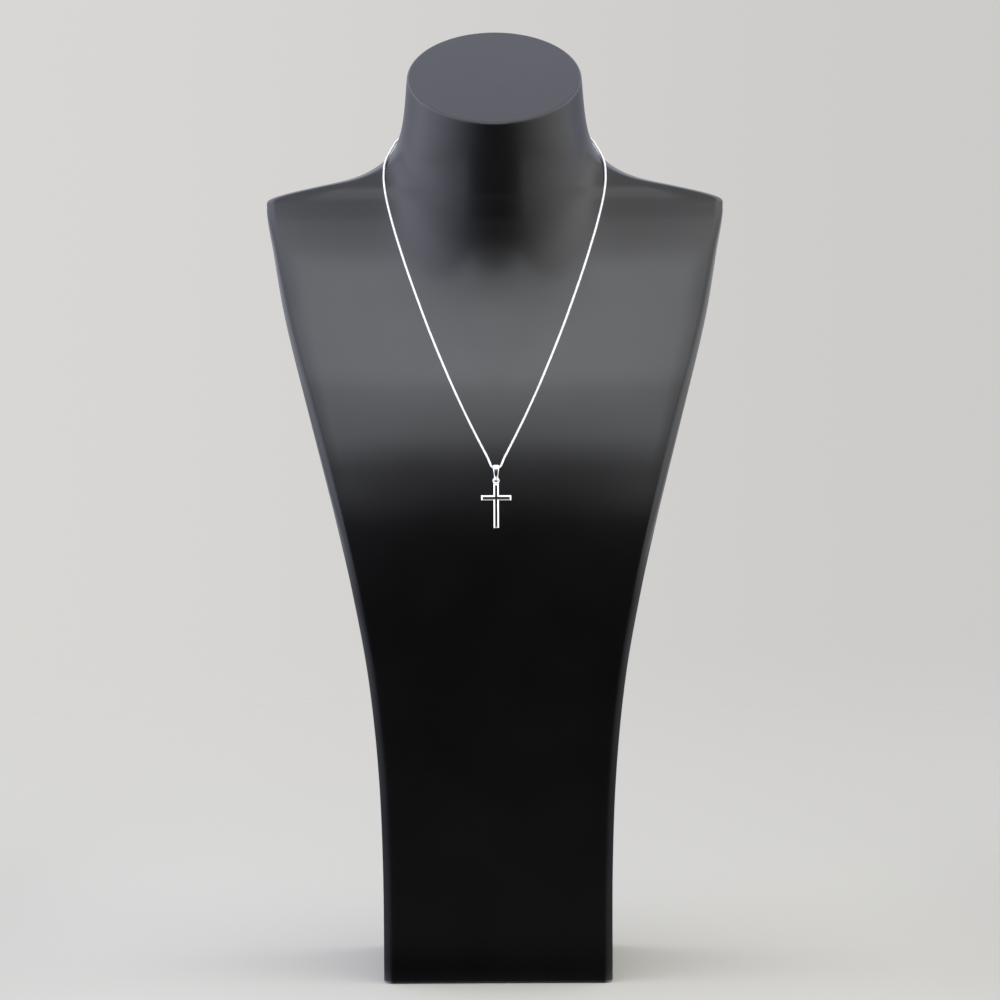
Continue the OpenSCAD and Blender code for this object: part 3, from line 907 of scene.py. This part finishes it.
def cross_body():
    """Points and faces over four outlines, from the back to the front."""
    rings = [
        cross_outline(BAR_T / 2, BACK_BEVEL),
        cross_outline(BAR_T / 2 - BACK_BEVEL, 0),
        cross_outline(-BAR_T / 2 + BEVEL_DEPTH, 0),
        cross_outline(-BAR_T / 2, BEVEL_W),
    ]
    points = [point for ring in rings for point in ring]
    faces = []
    for first in range(0, len(points) - CORNERS, CORNERS):
        for i in range(CORNERS):
            j = (i + 1) % CORNERS
            faces.append((first + i, first + j, first + CORNERS + j, first + CORNERS + i))
    top_end, bar, low_end = (0, 1, 10, 11), (1, 2, 3, 4, 7, 8, 9, 10), (4, 5, 6, 7)
    for first in (0, len(points) - CORNERS):
        faces += [tuple(first + i for i in corners) for corners in (top_end, bar, low_end)]
    return points, faces


cross_piece = mesh_object("bevelled_cross", *cross_body())
bevel = cross_piece.modifiers.new("polished_edges", "BEVEL")
bevel.width = POLISHED_EDGE * MM
bevel.segments = 3
bevel.limit_method = "ANGLE"
bevel.angle_limit = math.radians(15)
bevel.harden_normals = True
ring_middle = (0, -DROP_FRONT, RING_Z)
cross_ring = mesh_object("cross_ring", *wire_ring((RING_D - RING_WIRE) / 2, RING_WIRE, ring_middle))
print("cross from", round(cross_top - CROSS_H, 2), "to", round(cross_top, 2), "mm high")

# %% [markdown]
# ## Joining pieces that are one in metal
# The ring is soldered to the cross, and the end rings belong to the chain, so each pair becomes one
# object. Joining copies faces into one mesh, with the modifiers already applied.

# %% Join soldered pieces
def fuse(name, pieces, material):
    """One object with one material from the faces of several."""
    work = bmesh.new()
    for piece in pieces:
        work.from_mesh(plain_copy(piece))
        bpy.data.objects.remove(piece)
    for face in work.faces:
        face.material_index = 0
    mesh = bpy.data.meshes.new(name)
    work.to_mesh(mesh)
    work.free()
    mesh.materials.append(material)
    return new_object(name, mesh)


cross_whole = fuse("cross_with_ring", [cross_piece, cross_ring], silver)
chain_whole = fuse("box_chain_with_ends", [chain, ovals], chain_silver)
bail_piece.data.materials.append(silver)
clasp.data.materials.append(clasp_silver)
print("joined:", cross_whole.name, chain_whole.name)

# %% [markdown]
# ## The black paint
# The bust is sprayed with a satin black, which is neither matt nor a mirror: it turns a large lamp into
# a soft grey sheet. Sprayed paint dries with a very fine orange skin, and a shop display is wiped often,
# so its sheen is a little uneven, its edges are rubbed duller and paler, and fine dust lies on what
# faces up.

# %% Black paint
PAINT_COLOR, RUBBED_COLOR = (0.0006, 0.0006, 0.0007), (0.003, 0.003, 0.0033)
DUST_COLOR = (0.02, 0.019, 0.018)
RUB_SCALE, RUB_RANGE = 330, (0.4, 0.6, 0.2, 1.0)
DUST_SCALE, DUST_RANGE, DUST_SLOPE = 2000, (0.7, 0.78), (0.1, 0.8)
SHEEN_SCALE, SHEEN_RANGE = 25, (0.3, 0.7, 0.19, 0.215)
RUBBED_DULLER, DUST_DULLER = 0.1, 0.3
SKIN_SCALE, SKIN_HEIGHT, SKIN_STRENGTH = 830, 0.000008, 0.5

paint, paint_tree, paint_shader = node_material("satin_black_paint", PAINT_COLOR, roughness=0.2)
edge = add_node(paint_tree, "ShaderNodeAttribute", {"attribute_name": "edge_wear"}).outputs["Fac"]
patchy = ramp(paint_tree, blotches(paint_tree, RUB_SCALE, detail=3.0), *RUB_RANGE)
rubbed = sums(paint_tree, "MULTIPLY", edge, patchy)
facing = paint_tree.nodes.new("ShaderNodeNewGeometry").outputs["Normal"]
facing_up = add_node(paint_tree, "ShaderNodeSeparateXYZ", Vector=facing).outputs["Z"]
specks = ramp(paint_tree, blotches(paint_tree, DUST_SCALE, detail=1.0), *DUST_RANGE)
dust = sums(paint_tree, "MULTIPLY", specks, ramp(paint_tree, facing_up, *DUST_SLOPE))
sheen = ramp(paint_tree, blotches(paint_tree, SHEEN_SCALE, detail=3.0), *SHEEN_RANGE)
rubbed_sheen = sums(paint_tree, "MULTIPLY_ADD", rubbed, RUBBED_DULLER, sheen)
skin_patches = blotches(paint_tree, SKIN_SCALE, detail=1.0)
painted = two_colors(paint_tree, rubbed, PAINT_COLOR, RUBBED_COLOR)
set_inputs(
    paint_shader,
    Base_Color=two_colors(paint_tree, dust, painted, DUST_COLOR),
    Roughness=sums(paint_tree, "MULTIPLY_ADD", dust, DUST_DULLER, rubbed_sheen),
    Normal=bump(paint_tree, skin_patches, SKIN_HEIGHT, SKIN_STRENGTH),
)
bust.data.materials.append(paint)
print("material:", paint.name)

# %% [markdown]
# ## Telling the frame what each piece is
# Each piece moves with one body of the CAD model and takes the place of the plain solid it was drawn
# on. Its row also lists the record's material slot that it is finished in.

# %% Ride and replace, slot listed
PIECES = [
    (bust, "stand", "neck_bust", "black_paint"),
    (chain_whole, "stand", "chain", "chain_silver"),
    (clasp, "stand", "clasp", "plain_silver"),
    (bail_piece, "bail", "bail", "polished_silver"),
    (cross_whole, "cross", "cross", "polished_silver"),
]
for piece, body, node, slot in PIECES:
    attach(piece, body)
    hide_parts(node)
print("pieces:", [piece.name for piece, *_ in PIECES])

# %% [markdown]
# ## Floor and light
# A shiny black thing shows nothing but the room round it, so product photographers build a small room
# for it: white paper at the sides and above, pale paper behind and below, and a dark gap in front where
# the camera stands. One large soft lamp hangs above the camera, a bright card stands close to each side,
# below the neck, and a dim one lies on the table in front. The grey chest is the lamp seen in the satin
# paint, the light lines down both edges are the cards, the faint grey low on the bust is the card on the
# table, the grey sides of the neck are the white side papers, and the dark band down the neck's middle
# is the gap. A lamp's strength is given here as brightness seen from the object, so that lamps of any
# size can be compared, and the helper works out the watts.

# %% Soft lamps
LAMP_PLACE, LAMP_AIM, LAMP_SIZE = (0, -2.28, 1.62), (0, 0, 0.33), (1.55, 1.29)
LAMP_BRIGHTNESS, LAMP_COLOR = 1.54, (0.953, 0.987, 1.04)
CARD_X, CARD_Y, CARD_LOW, CARD_HIGH, CARD_DEPTH = 0.3, -0.07, 0.16, 0.415, 0.84
CARD_BRIGHTNESS = 1.15
CARDS = [("left_card", -1, (0.93, 0.97, 1.12)), ("right_card", 1, (0.99, 1.0, 1.01))]
TABLE_CARD_Y, TABLE_CARD_Z, TABLE_CARD_SIZE = -0.55, 0.002, (0.6, 0.8)
TABLE_CARD_BRIGHTNESS = 0.07


def soft_lamp(name, place, aim, size, brightness, color=(1, 1, 1)):
    """A flat lamp that shows in reflections but not to the camera."""
    light = bpy.data.lights.new(name, "AREA")
    light.shape = "RECTANGLE"
    light.size, light.size_y = size
    light.energy = brightness * math.pi * size[0] * size[1]
    light.color = color
    lamp = new_object(name, light)
    lamp.location = place
    lamp.rotation_euler = (Vector(aim) - Vector(place)).to_track_quat("-Z", "Y").to_euler()
    lamp.visible_camera = False
    print(name, round(light.energy, 1), "W")


soft_lamp("soft_lamp", LAMP_PLACE, LAMP_AIM, LAMP_SIZE, LAMP_BRIGHTNESS, LAMP_COLOR)
card_size, card_z = (CARD_DEPTH, CARD_HIGH - CARD_LOW), (CARD_LOW + CARD_HIGH) / 2
for name, side, card_color in CARDS:
    card_place, card_aim = (side * CARD_X, CARD_Y, card_z), (0, CARD_Y, card_z)
    soft_lamp(name, card_place, card_aim, card_size, CARD_BRIGHTNESS, card_color)
table_place, table_aim = (0, TABLE_CARD_Y, TABLE_CARD_Z), (0, TABLE_CARD_Y, 1)
soft_lamp("table_card", table_place, table_aim, TABLE_CARD_SIZE, TABLE_CARD_BRIGHTNESS)

# %% [markdown]
# The floor is pale paper with a faint fibre in it, and its colour is a little darker to the right, a
# painted shade where less light falls. It fades out from half a metre away, so that no horizon line
# crosses the picture.

# %% Floor
FLOOR_R, FADE_START, FADE_END = 1.8, 0.5, 1.75
# The second paper colour is the same paper with painted shade, for the floor's right side.
PAPER_LEFT, PAPER_RIGHT_SHADE, SHADE_REACH = (0.367, 0.356, 0.315), (0.345, 0.334, 0.292), 0.35
FIBRE_SCALE, FIBRE_RANGE = 670, (0.3, 0.7, -0.06, 0.06)
PAPER_DULL, PAPER_GLOSS = 0.9, 0.1

bpy.ops.mesh.primitive_circle_add(vertices=96, radius=FLOOR_R, fill_type="NGON", location=(0, 0, 0))
floor = bpy.context.object
floor.name = "paper_floor"
paper, paper_tree, paper_shader = node_material("pale_paper", PAPER_LEFT, PAPER_DULL)
place = paper_tree.nodes.new("ShaderNodeTexCoord").outputs["Object"]
sideways = add_node(paper_tree, "ShaderNodeSeparateXYZ", Vector=place).outputs["X"]
away = add_node(paper_tree, "ShaderNodeVectorMath", {"operation": "LENGTH"}, Vector=place)
fibres = ramp(paper_tree, blotches(paper_tree, FIBRE_SCALE, detail=4.0), *FIBRE_RANGE)
# Painted shade: the colour goes darker towards the right. The fibres added to it are the paper's own
# grain.
shade_and_fibre = sums(paper_tree, "ADD", ramp(paper_tree, sideways, -SHADE_REACH, SHADE_REACH), fibres)
set_inputs(
    paper_shader,
    Base_Color=two_colors(paper_tree, shade_and_fibre, PAPER_LEFT, PAPER_RIGHT_SHADE),
    Specular_IOR_Level=PAPER_GLOSS,
    Alpha=ramp(paper_tree, away.outputs["Value"], FADE_START, FADE_END, 1.0, 0.0),
)
floor.data.materials.append(paper)
floor.visible_glossy = False
print("floor radius", FLOOR_R, "m")

# %% [markdown]
# The paper room is the world shader. The camera sees plain pale paper, with a painted shade that
# makes it a little darker to the right.
# Everything else is lit by, and reflects, the room: brightest at the sides and above, dim at the back,
# dark low in front and over the camera, and bright again where the table's sides catch the light. The
# left and the back are slightly cooler in colour, as they would be with a window there. All of it is
# worked out from the direction in which a ray leaves: to the side, to the back and upwards.

# %% The directions
GAP_X = 0.03

world = bpy.data.worlds.new("paper_room")
bpy.context.scene.world = world
world.use_nodes = True
sky = world.node_tree
sky.nodes.clear()


def room_ramp(*values):
    return ramp(sky, *values)


def room_sum(*values):
    return sums(sky, *values)


direction = sky.nodes.new("ShaderNodeTexCoord").outputs["Generated"]
parts = add_node(sky, "ShaderNodeSeparateXYZ", Vector=direction).outputs
off_gap, to_back, upward = room_sum("SUBTRACT", parts["X"], GAP_X), parts["Y"], parts["Z"]
to_side = room_sum("ABSOLUTE", off_gap)
print("directions: from -1 to 1, with the gap at", GAP_X)

# %% [markdown]
# Each fade below is four numbers: where along a direction it starts and ends, and the brightness, or
# the share of it, at the start and at the end.

# %% The room's brightness
SIDE_POWER, SIDE_PAPER = 2.5, (0.25, 0.9, 1.86, 0.744)
FRONT_LIGHT, BACK_PAPER = 0.05, (0.3, 0.9, 0.0, 0.3)
TOP_LIGHT = 2.55
TOP_PAPER, TOP_TO_BACK = (0.01, 0.73, 0.0, TOP_LIGHT), (0.2, 0.55, 1.0, 0.48)
TOP_TO_SIDE = (0.15, 0.55, 1.0, 1.15)
GAP_UPWARD, GAP_TO_SIDE = (0.72, 0.88, 0.0, 1.0), (0.3, 0.6, 1.0, 0.0)
GAP_TO_BACK = (-0.1, 0.3, 0.45, 0.3)
ABOVE_TABLE = (-0.15, 0.03, 0.06, 1.0)
TABLE_LIGHT, TABLE_TO_SIDE = (-0.6, -0.12, 3.0, 0.0), (0.25, 0.75, 0.15, 1.0)
LEFT_TO_RIGHT = (-0.9, 0.9, 1.09, 0.94)

side_shape = room_sum("POWER", to_side, SIDE_POWER)
side_paper = room_sum("MULTIPLY", side_shape, room_ramp(to_back, *SIDE_PAPER))
standing_paper = room_sum("ADD", side_paper, room_ramp(to_back, *BACK_PAPER))
low_light = room_sum("ADD", standing_paper, FRONT_LIGHT)
in_middle = room_sum("MULTIPLY", room_ramp(to_side, *GAP_TO_SIDE), room_ramp(to_back, *GAP_TO_BACK))
over_camera = room_sum("MULTIPLY", room_ramp(upward, *GAP_UPWARD), in_middle)
top_paper = room_sum("MULTIPLY", room_ramp(upward, *TOP_PAPER), room_ramp(to_back, *TOP_TO_BACK))
top_sides = room_sum("MULTIPLY", top_paper, room_ramp(to_side, *TOP_TO_SIDE))
top_light = room_sum("MULTIPLY", top_sides, room_sum("SUBTRACT", 1.0, over_camera))
# The paper above only fills what the standing papers leave dark.
left_over = room_sum("SUBTRACT", 1.0, room_sum("DIVIDE", low_light, TOP_LIGHT))
papers = room_sum("MULTIPLY_ADD", top_light, left_over, low_light)
above = room_sum("MULTIPLY", papers, room_ramp(upward, *ABOVE_TABLE))
table = room_sum("MULTIPLY", room_ramp(upward, *TABLE_LIGHT), room_ramp(to_side, *TABLE_TO_SIDE))
all_round = room_sum("ADD", above, table)
room_light = room_sum("MULTIPLY", all_round, room_ramp(off_gap, *LEFT_TO_RIGHT))
print("brightest paper:", TOP_LIGHT, "dark front:", FRONT_LIGHT)

# %% The room's colour, and what the camera sees
COOL_COLOR, NEUTRAL_COLOR = (0.93, 0.96, 1.15), (0.99, 0.995, 1.015)
COOL_LEFT, COOL_BACK = (-0.5, 0.1, 1.0, 0.0), (0.1, 0.5, 0.0, 0.9)
# The backdrop's fall towards the right is a painted shade.
SEEN_COLOR, SEEN_SHADE_TO_RIGHT = (0.655, 0.645, 0.63), (-0.14, 0.14, 1.05, 0.93)

cool = room_sum("MAXIMUM", room_ramp(off_gap, *COOL_LEFT), room_ramp(to_back, *COOL_BACK))
room_color = two_colors(sky, cool, NEUTRAL_COLOR, COOL_COLOR)
room = add_node(sky, "ShaderNodeBackground", Color=room_color, Strength=room_light).outputs[0]
# A painted shade: the backdrop that the camera sees is made dimmer towards the right.
seen_light = room_ramp(parts["X"], *SEEN_SHADE_TO_RIGHT)
seen = add_node(sky, "ShaderNodeBackground", Color=SEEN_COLOR, Strength=seen_light).outputs[0]
to_camera = sky.nodes.new("ShaderNodeLightPath").outputs["Is Camera Ray"]
choice = add_node(sky, "ShaderNodeMixShader")
for socket, output in zip(choice.inputs, (to_camera, room, seen)):
    feed(socket, output)
add_node(sky, "ShaderNodeOutputWorld", Surface=choice.outputs[0])
print("paper room ready")
